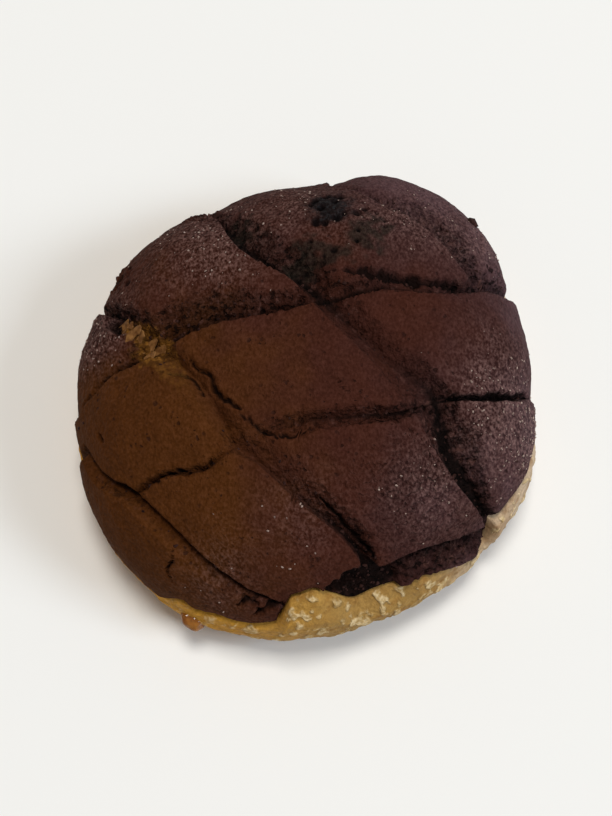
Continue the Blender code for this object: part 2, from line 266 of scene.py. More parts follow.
FLAKE_PLACES = (
    (-42.8, 12.6), (-41.6, 11.4), (-39.6, 9), (-38.4, 7.4), (-36.2, 5.8), (-34.6, 4.2), (-33.2, 4.4),
    (-35.4, 2.2),
)
FLAKE_RADII = (1.2, 0.8)
FLAKE_LIFT = 0.12
FLAKE_TILT = 0.14
PLATE_CORNERS = 12
PLATE_THICKNESS = 0.3
PLATE_BEND = 0.1
PLATE_BEVEL = 0.92  # its upper side's share of its width

# The syrup drip, at a bearing and a turn
DRIP_PLACE = (-116.6, 98)
DRIP_SIZE = (2.6, 2, 2.3)
DRIP_SPIN = -15
DRIP_LIFT = 0.8

# The bread
CRUST_GAP = 0.35
BREAD_BULGE = 1.0
BULGE_WIDTH = 75
BREAD_COLUMNS = 1080
BREAD_WIDTH = 110
COVERED_SHARES = (0.15, 0.3, 0.45, 0.6, 0.75, 0.85, 0.92, 0.97, 1)  # its rings under the crust
BARE_STEPS = ((1.2, 12, 0.6), (12, 42, 1))  # its rings beyond the rim, as turns from, up to and apart
BARE_PROFILE = ((1.2, -2.8), (1.7, -1.5), (2.3, -0.8), (4, -0.25), (8, 0), (14, 0))  # beyond the rim, offset
FOOT_RINGS = 24
BROWN_FOOT = (8, 1)  # the foot browns between these heights
SUNK_BEARING = -62  # the bread is sunk beside the broken front corner, as the crust is
SUNK_WIDTH = 24
SUNK_EDGE = 0.97  # the crust's cuts are read at this share of the way to the rim
SUNK_DEPTHS = (0.6, 3.5)  # the least cut that sinks the bread, and the most that it sinks
SUNK_BLUR = 15  # columns on either side that share the sinking
DENT = (-32, 6, 0.7)  # a shallow dent in its right front: bearing, half-width and depth

# Lights: bearing, elevation, distance and size in metres, share of the floor's brightness, and tint
LIGHTS = (
    ("key", -14, 38, 4, 1.4, 0.28, (0.88, 1, 1.13)),
    ("back", 80, 82, 4, 1.2, 0.53, (1.04, 0.995, 0.94)),
)
ROOM_TINT = (1.06, 0.99, 0.92)
ROOM_SHARE = 0.22
FLOOR_SIZE = 6  # metres
FLOOR_COLOUR = (0.898, 0.898, 0.875, 1)

# The camera looks along +Y
CAMERA_ELEVATION = 70
CAMERA_DISTANCE = 355
CAMERA_TARGET = (-0.27, 0, 18)
CAMERA_DROP = 2.8  # how far the view's middle is below the target
CAMERA_LENS = 65


def srgb(red, green, blue):
    """A linear colour from the usual 0 to 255 values."""
    share = np.array([red, green, blue]) / 255
    linear = np.where(share < 0.04045, share / 12.92, ((share + 0.055) / 1.055) ** 2.4)
    return (*linear.tolist(), 1.0)


WARM_COCOA = srgb(74, 39, 10)
COCOA = srgb(61, 29, 19)
PURPLE_COCOA = srgb(57, 31, 28)
# Grey cocoa, partly a painted sheen
SHEEN_GREY_COCOA = srgb(80, 57, 60)
POWDER = srgb(152, 120, 113)
DEEP_SHADOW = srgb(22, 11, 8)
# Black for painted shade in the feet of cracks, scores and hollows, and in holes
CREVICE_SHADE_BLACK = srgb(7, 3, 2)
# Loose crumbs, lighter partly as a painted highlight on lit ridges
CRUMB_AND_RIDGE_HIGHLIGHT = srgb(96, 64, 57)
# Painted shade in the pores and in the creases of the wrinkles
PORE_SHADE = srgb(30, 14, 11)
WRINKLE_SHADE = srgb(30, 14, 13)
SCORCHED_COLOURS = (srgb(15, 11, 8), srgb(46, 38, 31))
ASH_COLOURS = (srgb(6, 8, 10), srgb(40, 45, 48))
ASH_PITS = srgb(5, 5, 7)
CHARCOAL = srgb(4, 2, 3)
TORN_COLOURS = (srgb(76, 46, 14), srgb(132, 88, 34))
# The bread from left to right, partly painted light: the golden left lightened and the pale right a painted
# highlight
GOLDEN_BREAD = srgb(196, 142, 48)
BROWN_BREAD = srgb(158, 122, 64)
PALE_HIGHLIT_BREAD = srgb(190, 166, 138)
TOASTED_BREAD = srgb(138, 90, 34)
STREAKED_BREAD = srgb(130, 84, 28)
FOOT_BREAD = srgb(146, 90, 42)
DRY_DOUGH_COLOURS = (srgb(178, 146, 92), srgb(228, 206, 162))
CRUMB_COLOURS = (srgb(30, 15, 12), srgb(60, 36, 31))
SUGAR_COLOURS = (srgb(112, 90, 82), srgb(182, 160, 148))
FLAKE_COLOURS = (srgb(92, 57, 26), srgb(132, 92, 50))
SYRUP_COLOURS = (srgb(146, 84, 26), srgb(192, 130, 54))


def mm_to_world(points):
    return (np.asarray(points, float) + np.array(CENTRE)) * UNIT


def outline_radius(bearing):
    """The envelope's radius at the waist."""
    radius = np.full(np.shape(bearing), float(WAIST_RADIUS))
    for count, height, crest in OUTLINE:
        radius = radius + height * np.cos(np.radians(count * (bearing - crest)))
    return radius


def envelope(turn, bearing):
    """Points on the envelope."""
    power = 2 / SQUARENESS
    above = np.radians(np.clip(turn, 0, WAIST_TURN))
    below = np.radians(np.clip(turn - WAIST_TURN, 0, FOOT_TURN - WAIST_TURN))
    upper = turn <= WAIST_TURN
    spread = np.where(
        upper,
        np.sin(above) ** power,
        FOOT_SHARE + (1 - FOOT_SHARE) * np.abs(np.cos(below)) ** power,
    )
    height = np.where(
        upper,
        WAIST_HEIGHT + (BUN_HEIGHT - WAIST_HEIGHT) * np.abs(np.cos(above)) ** power,
        WAIST_HEIGHT * (1 - np.sin(below) ** power),
    )
    reach = spread * outline_radius(bearing)
    angle = np.radians(bearing)
    return np.stack([reach * np.cos(angle), reach * np.sin(angle), height], axis=-1)


def envelope_normal(turn, bearing):
    """Outward unit normals of the envelope, from points close on either side."""
    step = 0.5
    turn = np.clip(turn, 2 * step, FOOT_TURN - 2 * step)
    down = envelope(turn + step, bearing) - envelope(turn - step, bearing)
    across = envelope(turn, bearing + step) - envelope(turn, bearing - step)
    normal = np.cross(down, across)
    return normal / np.linalg.norm(normal, axis=-1, keepdims=True)


def from_front(bearing):
    """Degrees round from the front, from 0 to 180."""
    return np.abs((bearing - FRONT_BEARING + 180) % 360 - 180)


def rim_turn(bearing):
    """Where the crust ends."""
    places, turns = np.array(RIM, float).T
    over = np.concatenate([places - 360, places, places + 360])
    return np.mean([np.interp(bearing + d, over, np.tile(turns, 3)) for d in RIM_SOFTENING], axis=0)


def crust_depth(share):
    """Depth of the crust's underside below the envelope, at a share of the way from crown to rim."""
    taper = np.clip((share - RIM_TAPER_FROM) / (1 - RIM_TAPER_FROM), 0, 1)
    return CRUST_THICKNESS + (RIM_THICKNESS - CRUST_THICKNESS) * taper**2


def lumps(points, size, seed=0):
    """Smooth noise from -1 to 1, with lumps about this many millimetres across."""
    return np.array([noise.noise(p) for p in (points / size + 7.3 * seed).tolist()])


def layered(points, layers):
    """Noise of several sizes added up."""
    return sum(height * lumps(points, size, seed) for height, size, seed in layers)


def ease(value, low, high):
    """0 below low, 1 above high, and a smooth rise between."""
    share = np.clip((value - low) / (high - low), 0, 1)
    return share * share * (3 - 2 * share)


def spline(rows, steps):
    """A Catmull-Rom curve through the rows, whatever they hold."""
    rows = np.array([2 * rows[0] - rows[1], *rows, 2 * rows[-1] - rows[-2]])
    t = np.linspace(0, 1, steps, endpoint=False)[:, None]
    runs = []
    for before, start, end, after in zip(rows, rows[1:], rows[2:], rows[3:]):
        bend = 2 * before - 5 * start + 4 * end - after
        twist = -before + 3 * start - 3 * end + after
        runs.append(start + 0.5 * t * (end - before + t * (bend + t * twist)))
    return np.vstack([*runs, rows[-2:-1]])


def on_envelope(x, y):
    """Turn and bearing above a plan position, and the position's share of the waist's radius."""
    bearing = np.degrees(np.arctan2(y, x))
    reach = np.hypot(x, y) / outline_radius(bearing)
    return np.degrees(np.arcsin(np.clip(reach, 0, 1) ** (SQUARENESS / 2))), bearing, reach


def lifted(rows, tails=True):
    """A plan line's turns and bearings on the envelope, and its other values. Where it reaches the rim, it
    runs on over it."""
    curve = spline(np.array(rows, float), SCORE_STEPS)
    turn, bearing, reach = on_envelope(curve[:, 0], curve[:, 1])
    values = curve[:, 2:]
    for end in (0, -1):
        if not tails or reach[end] < RIM_REACH:
            continue
        steps = 2 * SCORE_STEPS
        tail = np.linspace(turn[end], RUN_OFF_TURN, steps)
        held = np.full(steps, bearing[end])
        kept = np.repeat(values[[end]], steps, axis=0)
        turn = np.concatenate([turn, tail] if end else [tail[::-1], turn])
        bearing = np.concatenate([bearing, held] if end else [held, bearing])
        values = np.concatenate([values, kept] if end else [kept, values])
    return turn, bearing, values


def beside(points, rows, tails=True):
    """Each point's nearest place on a plan line: the millimetres to it along the line, its share of the way,
    the distance across, positive on the left, the direction to the left, and the line's other values."""
    turn, bearing, values = lifted(rows, tails)
    line = envelope(turn, bearing)
    along = np.gradient(line, axis=0)
    along /= np.linalg.norm(along, axis=1, keepdims=True) + 1e-9
    left = np.cross(envelope_normal(turn, bearing), along)
    steps = np.linalg.norm(np.diff(line, axis=0), axis=1)
    run = np.concatenate([[0], np.cumsum(steps)])
    nearest = np.empty(len(points), int)
    for start in range(0, len(points), BATCH):
        part = points[start : start + BATCH]
        square = (line**2).sum(axis=1) - 2 * part @ line.T
        nearest[start : start + BATCH] = square.argmin(axis=1)
    away = points - line[nearest]
    ahead = np.clip((away * along[nearest]).sum(axis=1), -steps.mean(), steps.mean())
    size = np.sqrt(np.maximum((away**2).sum(axis=1) - ahead**2, 0))
    offset = np.where((away * left[nearest]).sum(axis=1) < 0, -size, size)
    return run[nearest], run[nearest] / run[-1], offset, left[nearest], values[nearest]


def disc_grid(cells):
    """A square grid mapped to a disc: each point's share of the radius and bearing, the faces, the index."""
    side = np.linspace(-1, 1, cells + 1)
    a, b = (grid.ravel() for grid in np.meshgrid(side, side))
    wide = np.abs(a) >= np.abs(b)
    share = np.where(wide, np.abs(a), np.abs(b))
    longer = np.where(share > 0, np.where(wide, a, b), 1)
    quarter = 45 * np.where(wide, b, a) / longer
    bearing = np.where(wide, quarter, 90 - quarter) + 180 * (longer < 0)
    index = np.arange((cells + 1) ** 2).reshape(cells + 1, cells + 1)
    corners = (index[:-1, :-1], index[:-1, 1:], index[1:, 1:], index[1:, :-1])
    return share, bearing, np.stack(corners, axis=-1).reshape(-1, 4), index


def border(index):
    """The grid's outer points, in order round it."""
    return np.concatenate([index[0, :-1], index[:-1, -1], index[-1, :0:-1], index[:0:-1, 0]])


def rim_faces(outer, inner):
    """Triangles that join the outer border to an inner one with fewer points."""
    stride = len(outer) // len(inner)
    faces = []
    for j, start in enumerate(inner):
        end = inner[(j + 1) % len(inner)]
        run = [outer[(stride * j + k) % len(outer)] for k in range(stride + 1)]
        half = stride // 2
        faces += [(a, b, start) for a, b in zip(run[:half], run[1:])]
        faces.append((run[half], end, start))
        faces += [(a, b, end) for a, b in zip(run[half:], run[half + 1 :])]
    return faces


def split_evenly(faces, depth):
    """Two triangles for each four-sided face, split on the diagonal that stays at a more even depth."""
    first, second, third, fourth = depth[faces].T
    even = np.abs(first - third) < np.abs(second - fourth)
    turned = np.where(even[:, None], faces, np.roll(faces, 1, axis=1))
    return np.vstack([turned[:, [0, 1, 2]], turned[:, [0, 2, 3]]])


def make_piece(name, points, faces, material, values=None):
    """A smooth closed mesh that faces out, rides on the bun and carries these values on its points."""
    mesh = bpy.data.meshes.new(name)
    mesh.from_pydata(mm_to_world(points).tolist(), [], [tuple(map(int, face)) for face in faces])
    shape = bmesh.new()
    shape.from_mesh(mesh)
    bmesh.ops.recalc_face_normals(shape, faces=shape.faces)
    shape.to_mesh(mesh)
    shape.free()
    mesh.shade_smooth()
    for key, numbers in (values or {}).items():
        layer = mesh.attributes.new(key, "FLOAT", "POINT")
        layer.data.foreach_set("value", np.asarray(numbers, np.float32))
    mesh.materials.append(material)
    piece = bpy.data.objects.new(name, mesh)
    bpy.context.scene.collection.objects.link(piece)
    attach(piece, "root")
    return piece


class Look:
    """A material whose nodes are added line by line."""

    def __init__(self, name, roughness, specular):
        self.material = bpy.data.materials.new(name)
        self.material.use_nodes = True
        self.tree = self.material.node_tree
        self.shader = self.tree.nodes["Principled BSDF"]
        self.shader.inputs["Roughness"].default_value = roughness
        self.shader.inputs["Specular IOR Level"].default_value = specular
        self.place = self.add("ShaderNodeTexCoord").outputs["Object"]

    def add(self, kind, *values, **settings):
        node = self.tree.nodes.new(kind)
        for key, value in settings.items():
            setattr(node, key, value)
        for socket, value in zip(node.inputs, values):
            self.join(value, socket)
        return node

    def join(self, value, socket):
        if isinstance(value, bpy.types.NodeSocket):
            self.tree.links.new(value, socket)
        elif value is not None:
            socket.default_value = value

    def math(self, operation, *values):
        return self.add("ShaderNodeMath", *values, operation=operation).outputs[0]

    def times(self, first, second):
        return self.math("MULTIPLY", first, second)

    def scaled_sum(self, value, factor, more):
        return self.math("MULTIPLY_ADD", value, factor, more)

    def value(self, name):
        """A number carried by the mesh's points."""
        return self.add("ShaderNodeAttribute", attribute_name=name).outputs["Fac"]

    def stretched(self, x, y, z):
        """Coordinates in which patterns are this many times longer along each axis."""
        scale = (1 / x, 1 / y, 1 / z)
        return self.add("ShaderNodeVectorMath", self.place, scale, operation="MULTIPLY").outputs[0]

    def noise(self, size, detail=2, place=None):
        node = self.add("ShaderNodeTexNoise")
        self.join(place or self.place, node.inputs["Vector"])
        node.inputs["Scale"].default_value = 1 / (size * UNIT)
        node.inputs["Detail"].default_value = detail
        return node

    def lumps(self, size, detail=2, place=None):
        return self.noise(size, detail, place).outputs[0]

    def warped(self, size, amount):
        """Coordinates pushed about by noise of this size, by this many millimetres."""
        swirl = self.noise(size).outputs[1]
        push = self.add("ShaderNodeVectorMath", swirl, (0.5, 0.5, 0.5), operation="SUBTRACT")
        scale = self.add("ShaderNodeVectorMath", push.outputs[0], operation="SCALE")
        scale.inputs["Scale"].default_value = 2 * amount * UNIT
        return self.add("ShaderNodeVectorMath", self.place, scale.outputs[0], operation="ADD").outputs[0]

    def cells(self, size, place=None, feature="F1"):
        node = self.add("ShaderNodeTexVoronoi", feature=feature)
        self.join(place or self.place, node.inputs["Vector"])
        node.inputs["Scale"].default_value = 1 / (size * UNIT)
        return node.outputs

    def pits(self, size, widest, place=None):
        """1 in the middle of scattered pits of many sizes, and 0 between them."""
        cells = self.cells(size, place)
        chance = self.add("ShaderNodeSeparateColor", cells["Color"]).outputs
        width = self.times(self.math("POWER", chance[0], 2.0), widest)
        inside = self.math("DIVIDE", cells["Distance"], self.math("MAXIMUM", width, 0.001))
        return self.rise(inside, 1.0, 0.45)

    def rise(self, value, low, high):
        """0 at low, 1 at high, and smooth between."""
        node = self.add("ShaderNodeMapRange", value, low, high, interpolation_type="SMOOTHSTEP")
        return node.outputs[0]

    def shaded(self, colour, shade):
        node = self.add("ShaderNodeVectorMath", colour, operation="SCALE")
        self.join(shade, node.inputs["Scale"])
        return node.outputs[0]

    def swing(self, size, detail, gain, place=None):
        """Noise that swings about 0, mostly between -1 and 1."""
        return self.times(self.math("SUBTRACT", self.lumps(size, detail, place), 0.5), gain)

    def mix(self, share, first, second):
        node = self.add("ShaderNodeMix", data_type="RGBA")
        self.join(share, node.inputs[0])
        self.join(first, node.inputs[6])
        self.join(second, node.inputs[7])
        return node.outputs[2]

    def two_tone(self, size, low, high, colours):
        """Noise of this size that runs from one colour to another as it rises from low to high."""
        return self.mix(self.rise(self.swing(size, 3, 3.5), low, high), *colours)

    def bump(self, height, distance):
        node = self.add("ShaderNodeBump")
        node.inputs["Distance"].default_value = distance * UNIT
        self.join(height, node.inputs["Height"])
        return node.outputs[0]

    def finish(self, colour, normal):
        self.join(colour, self.shader.inputs["Base Color"])
        self.join(normal, self.shader.inputs["Normal"])
        return self.material


def crust_look():
    """Chocolate cookie dough: its colours from the skin down to the holes, and its relief."""
    look = Look("chocolate_crust", 0.85, 0.06)
    grainy = look.stretched(1, 1.3, 1.1)
    mottle = look.scaled_sum(look.swing(0.6, 3, 3.2, grainy), 1.25, look.swing(1.5, 3, 1.7))
    wander = look.warped(1.1, 0.6)
    colour = cocoa(look, mottle)
    colour, holes = broken_walls(look, colour, wander)
    colour, pores, wrinkles = fine_skin(look, colour, wander)
    colour = burnt_and_torn(look, colour, wander)
    relief = look.scaled_sum(mottle, 0.16, look.lumps(1.0, 4))
    relief = look.times(relief, look.scaled_sum(look.value("frost"), 1.3, 0.8))
    relief = look.scaled_sum(pores, -0.6, relief)
    relief = look.scaled_sum(wrinkles, -2.0, relief)
    relief = look.scaled_sum(look.times(look.lumps(2.4, 3), look.value("leather")), 1.2, relief)
    relief = look.scaled_sum(look.times(look.lumps(1.0, 5), look.value("crumbly")), 1.6, relief)
    relief = look.scaled_sum(holes, -1.2, relief)
    return look.finish(colour, look.bump(relief, 0.45))


def cocoa(look, mottle):
    """Baked cocoa: warm where the tone and sheen value is low, purple and then grey where it is high, the
    grey partly a painted sheen, with faint blotches, and powder where the crust is frosted."""
    tone_and_sheen = look.value("tone_and_sheen")
    frost = look.value("frost")
    colour = look.mix(look.rise(tone_and_sheen, -0.45, 0.05), WARM_COCOA, COCOA)
    colour = look.mix(look.rise(tone_and_sheen, 0.05, 0.5), colour, PURPLE_COCOA)
    # The grey end is partly a painted sheen
    colour = look.mix(look.rise(tone_and_sheen, 0.5, 1.1), colour, SHEEN_GREY_COCOA)
    contrast = look.scaled_sum(frost, 0.33, 0.22)
    shade = look.scaled_sum(look.swing(7, 5, 4), 0.1, look.scaled_sum(mottle, contrast, 1.0))
    colour = look.shaded(colour, look.math("MAXIMUM", shade, 0.25))
    powder = look.times(look.rise(mottle, -0.7, 1.6), frost)
    return look.mix(look.times(powder, 0.6), colour, POWDER)


def broken_walls(look, colour, wander):
    """The scores' broken walls, darker the deeper they are, partly as painted shade, with holes painted
    black as shade and loose crumbs painted lighter, partly as a highlight.
    """
    deep = look.value("deep")
    crumbly = look.value("crumbly")
    wall = look.times(look.rise(deep, 0.2, 1.5), crumbly)
    # Crumbly walls are darker, partly the dough's own colour and partly painted shade in the score
    colour = look.mix(look.times(wall, 0.9), colour, look.shaded(colour, 0.62))
    shadow = look.times(look.rise(deep, 1.8, 5.5), look.scaled_sum(crumbly, 0.3, 0.25))
    colour = look.mix(shadow, colour, DEEP_SHADOW)
    torn = look.swing(1.7, 5, 3.6, wander)
    holes = look.times(look.rise(torn, 0.16, 0.6), crumbly)
    holes = look.math("MAXIMUM", holes, look.rise(look.value("pit"), 0.1, 0.6))
    # The holes are painted black, as shade in them
    colour = look.mix(look.times(holes, 0.8), colour, CREVICE_SHADE_BLACK)
    crumbs = look.times(look.rise(torn, -0.2, -0.7), wall)
    # Loose crumbs painted lighter, partly their own colour and partly a painted highlight on the ridges
    return look.mix(look.times(crumbs, 0.55), colour, CRUMB_AND_RIDGE_HIGHLIGHT), holes


def fine_skin(look, colour, wander):
    """Patches of pores and of fine wrinkles, which are deepest where the crust is leathery. Both are
    painted darker, as shade in them.
    """
    leather = look.value("leather")
    pores = look.times(look.pits(1.4, 0.5, wander), look.rise(look.lumps(5, 3), 0.42, 0.66))
    # The pores are painted darker, as shade in them
    colour = look.mix(look.times(pores, 0.65), colour, PORE_SHADE)
    edge = look.cells(2.3, look.warped(1.3, 0.8), "DISTANCE_TO_EDGE")["Distance"]
    creased = look.rise(look.lumps(9, 2), 0.42, 0.6)
    wrinkles = look.times(look.rise(edge, 0.12, 0.0), look.math("MAXIMUM", creased, leather))
    wrinkles = look.times(wrinkles, look.scaled_sum(leather, 0.24, 0.06))
    wrinkles = look.times(wrinkles, look.rise(look.lumps(1.6, 3), 0.4, 0.58))
    # The wrinkles' creases are painted darker, as shade in them
    return look.mix(wrinkles, colour, WRINKLE_SHADE), pores, wrinkles


def burnt_and_torn(look, colour, wander):
    """Cracks, scores' feet and hollows painted black as shade, scorched and burnt patches, and where the
    bread shows through.
    """
    # Painted shade: black in the feet of cracks and scores, and in hollows
    colour = look.mix(look.times(look.value("crevice_shade"), 0.88), colour, CREVICE_SHADE_BLACK)
    scorch = look.two_tone(0.9, -0.6, 0.7, SCORCHED_COLOURS)
    colour = look.mix(look.times(look.value("scorched"), 0.8), colour, scorch)
    ash = look.two_tone(0.8, -0.3, 1.0, ASH_COLOURS)
    ash = look.mix(look.pits(1.5, 0.8, wander), ash, ASH_PITS)
    colour = look.mix(look.times(look.value("burnt"), 0.88), colour, ash)
    colour = look.mix(look.times(look.value("charred"), 0.9), colour, CHARCOAL)
    return look.mix(look.value("tear"), colour, look.two_tone(1.4, -0.4, 0.8, TORN_COLOURS))


def bread_look():
    """Baked bread with pale flakes of dry dough."""
    look = Look("baked_bread", 0.7, 0.13)
    wander = look.warped(2.5, 1.4)
    fine = look.swing(0.9, 3, 3.5, wander)
    pale = look.rise(look.scaled_sum(fine, 0.3, look.value("flaky")), 0.1, 0.9)
    colour = toasted_bread(look, fine)
    flour = look.mix(look.rise(look.lumps(0.9), 0.3, 0.7), *DRY_DOUGH_COLOURS)
    colour = look.mix(look.times(pale, 0.75), colour, flour)
    relief = look.scaled_sum(look.lumps(0.7, 4), 0.5, look.lumps(2.2, 3))
    relief = look.scaled_sum(pale, 0.5, relief)
    return look.finish(colour, look.bump(relief, 0.6))


def toasted_bread(look, fine):
    """Golden at the left, browner in the middle and pale at the right, partly painted light and shade, with
    toasted places and streaks.
    """
    axes = look.add("ShaderNodeSeparateXYZ", look.place).outputs
    across = look.scaled_sum(axes[0], 1 / (BREAD_WIDTH * UNIT), 0.5)
    across = look.scaled_sum(look.swing(14, 3, 3), 0.06, across)
    # Partly painted light and shade across the bun: brown in the front middle, pale and lit at the right
    colour = look.mix(look.rise(across, 0.3, 0.6), GOLDEN_BREAD, BROWN_BREAD)
    colour = look.mix(look.rise(across, 0.72, 0.95), colour, PALE_HIGHLIT_BREAD)
    toast = look.swing(9, 4, 3.5, look.stretched(1.4, 1.4, 0.7))
    colour = look.mix(look.times(look.rise(toast, -0.1, 0.9), 0.45), colour, TOASTED_BREAD)
    brown = look.swing(3, 4, 3.5, look.stretched(1.8, 1.8, 0.7))
    colour = look.mix(look.times(look.rise(brown, 0.0, 0.7), 0.5), colour, STREAKED_BREAD)
    shade = look.scaled_sum(look.swing(2.2, 4, 3), 0.14, 1.0)
    colour = look.shaded(colour, look.scaled_sum(fine, 0.22, shade))
    high, low = BROWN_FOOT
    foot = look.rise(axes[2], high * UNIT, low * UNIT)
    return look.mix(look.times(foot, 0.7), colour, FOOT_BREAD)


def plain_look(name, colours, roughness, size):
    """One colour that varies a little from place to place."""
    look = Look(name, roughness, 0.12)
    return look.finish(look.two_tone(size, -0.7, 0.7, colours), look.bump(look.lumps(size / 2, 2), 0.2))


def spots(points, places):
    """Soft round patches added up, each as x, y, radius and height."""
    total = np.zeros(len(points))
    for x, y, radius, height in places:
        away = (points[:, 0] - x) ** 2 + (points[:, 1] - y) ** 2
        total = total + height * np.exp(-away / radius**2)
    return total


def patch(points, x, y, width, height, ragged, seed):
    """1 inside a ragged patch, and 0 outside."""
    reach = np.hypot((points[:, 0] - x) / width, (points[:, 1] - y) / height)
    return ease(reach + ragged * (lumps(points, 2.6, seed) + 0.5 * lumps(points, 1.2, seed)), 1.3, 0.5)


def patches(points, places):
    return np.max([patch(points, *place) for place in places], axis=0)


def crust_looks(points):
    """How grey, partly as a painted sheen, how frosted, how burnt and how torn the crust is, for its
    material.
    """
    x, y = points[:, 0], points[:, 1]
    # Greyer towards the right, the back and the outer edge, as a painted sheen, with random tone on top
    tone_and_sheen = (0.75 * x + 0.3 * y) / WAIST_RADIUS + 0.35 * (x**2 + y**2) / WAIST_RADIUS**2
    tone_and_sheen = tone_and_sheen + spots(points, TONE_AND_SHEEN_SPOTS) + 0.15 * lumps(points, 14, 41) + 0.1 * lumps(points, 5, 42)
    frost = 0.06 + spots(points, FROST_SPOTS) * (1 + 0.5 * lumps(points, 6, 43))
    _, _, offset, _, values = beside(points, TORN, tails=False)
    width, clear = values.T
    width = width * (1 + 0.5 * lumps(points, 2.6, 44) + 0.3 * lumps(points, 1.2, 45))
    return {
        "tone_and_sheen": tone_and_sheen,
        "frost": np.clip(frost, 0, 1),
        "burnt": patches(points, BURNT),
        "scorched": patches(points, SCORCHED),
        "tear": clear * ease(np.abs(offset) / np.maximum(width, 0.2), 1.15, 0.75),
    }


def gathered(share, bearing):
    """The grid's places moved closer to the scores, so that the mesh is finest there."""
    turn = share * rim_turn(bearing)
    points = envelope(turn, bearing)
    nearest = np.full(len(points), 99.0)
    way = np.zeros_like(points)
    for rows in SCORES.values():
        _, _, offset, left, _ = beside(points, rows)
        closer = np.abs(offset) < np.abs(nearest)
        nearest = np.where(closer, offset, nearest)
        way = np.where(closer[:, None], left, way)
    pull = -nearest * GATHER * np.exp(-((nearest / GATHER_REACH) ** 2)) * (share > 0.03)
    step = 0.5
    down = (envelope(turn + step, bearing) - envelope(turn, bearing)) / step
    across = (envelope(turn, bearing + step) - envelope(turn, bearing)) / step
    move = pull[:, None] * way
    turn = turn + (move * down).sum(axis=1) / np.maximum((down**2).sum(axis=1), 1e-6)
    bearing = bearing + (move * across).sum(axis=1) / np.maximum((across**2).sum(axis=1), 1e-6)
    return np.where(share >= 1, 1, np.minimum(turn / rim_turn(bearing), 0.999)), bearing


def score_cut(points, rows, seed, jag, fine):
    """One score's depths, how far the panels beside it sag, how broken its walls are, the streaks along
    them, and how far its foot is painted black as shade."""
    run, _, offset, _, values = beside(points, rows)
    front, back, depth, rough = values.T
    offset = offset + jag * (0.15 + (0.1 + 0.6 * rough) * ease(offset, 0.0, 1.8))
    ahead = offset < 0
    cut = np.where(
        ahead,
        np.clip(1 + offset / front, 0, 1) ** LIP_CURVE,
        np.clip(1 - offset / back, 0, 1) ** WALL_CURVE,
    )
    past = np.maximum(np.where(ahead, -offset - front, offset - back), 0)
    sag = np.where(ahead, PILLOW_FRONT, PILLOW_BACK) * np.exp(-((past / PILLOW_REACH) ** 2))
    streaks = lumps(np.stack([run / 3.5, offset / 1.1, 0 * run], axis=1), 1, seed)
    foot = ease(np.abs(offset) + 0.8 * jag + 0.7 * fine, 1.8, 0.6)
    # A score's foot is painted black, as shade
    crevice_shade = foot * ease(cut, 0.66, 0.9) * ease(rough, 0.2, 0.9) * ease(depth, 0.8, 2)
    return depth * cut, sag, rough * ease(cut, 0.0, 0.2), streaks, crevice_shade


def inside_crack(points, half_width, ragged, line, jag, fine):
    """1 at the foot of a crack, and 0 beyond its edges and past its ends."""
    _, way, offset, _, _ = beside(points, line, tails=False)
    fade = np.sin(np.pi * np.clip(way, 0.02, 0.98)) ** 0.4
    width = half_width * fade * (1 + 0.9 * ragged * lumps(points, 2.8, 12))
    wander = ragged * (jag + 0.7 * fine)
    return np.clip(1.2 * (1 - np.abs(offset + wander) / np.maximum(width, 0.1)), 0, 1)


def inside_hollow(points, x, y, half_length, half_width, turned, jag):
    """1 in a long hollow, and 0 outside."""
    angle = np.radians(turned)
    along = (points[:, 0] - x) * np.cos(angle) + (points[:, 1] - y) * np.sin(angle)
    across = (points[:, 1] - y) * np.cos(angle) - (points[:, 0] - x) * np.sin(angle)
    return ease(np.hypot(along / half_length, across / half_width) + 0.3 * jag, 1.1, 0.75)


def burst_bubbles(points, jag):
    """1 in the bubbles that burst, and 0 between them."""
    charred = np.zeros(len(points))
    for x, y, radius in BUBBLES:
        inside = ease(np.hypot(points[:, 0] - x, points[:, 1] - y) / radius + 0.35 * jag, 1.2, 0.5)
        charred = np.maximum(charred, inside)
    return charred


def score_cuts(points):
    """Depths of all the scores, cracks and hollows, how far the panels sag, and what the points carry."""
    fine = lumps(points, 1.3, 13)
    jag = layered(points, JAG_NOISE)
    depths = []
    crumbly, sag, strata, crevice_shade = (np.zeros(len(points)) for _ in range(4))
    for seed, rows in enumerate(SCORES.values()):
        cut, fall, broken, streaks, foot = score_cut(points, rows, seed, jag, fine)
        depths.append(cut)
        sag = np.maximum(sag, fall)
        strata = np.where(broken > crumbly, streaks, strata)
        crumbly = np.maximum(crumbly, broken)
        crevice_shade = np.maximum(crevice_shade, foot)
    cuts = (np.array(depths) ** 5).sum(axis=0) ** 0.2 + 0.55 * crumbly * strata
    for half_width, depth, ragged, line in CRACKS:
        inside = inside_crack(points, half_width, ragged, line, jag, fine)
        cuts = cuts + depth * inside
        # A crack's foot is painted black, as shade
        crevice_shade = np.maximum(crevice_shade, ease(inside, 0.05, 0.5))
    rough = spots(points, ROUGH_SPOTS) * (1.3 + lumps(points, 2.5, 11))
    crumbly = np.maximum(crumbly, ease(rough, 0.25, 0.75))
    for *hollow, depth in HOLLOWS:
        inside = inside_hollow(points, *hollow, jag)
        cuts = cuts + depth * inside
        crumbly = np.maximum(crumbly, inside)
        # A hollow is painted nearly black, as shade
        crevice_shade = np.maximum(crevice_shade, 0.9 * inside)
    leather = spots(points, LEATHER_SPOTS) * (1 - crumbly)
    charred = burst_bubbles(points, jag)
    values = {"deep": cuts, "crumbly": crumbly, "crevice_shade": crevice_shade, "leather": leather, "charred": charred}
    return cuts + BUBBLE_DEPTH * charred, sag, values


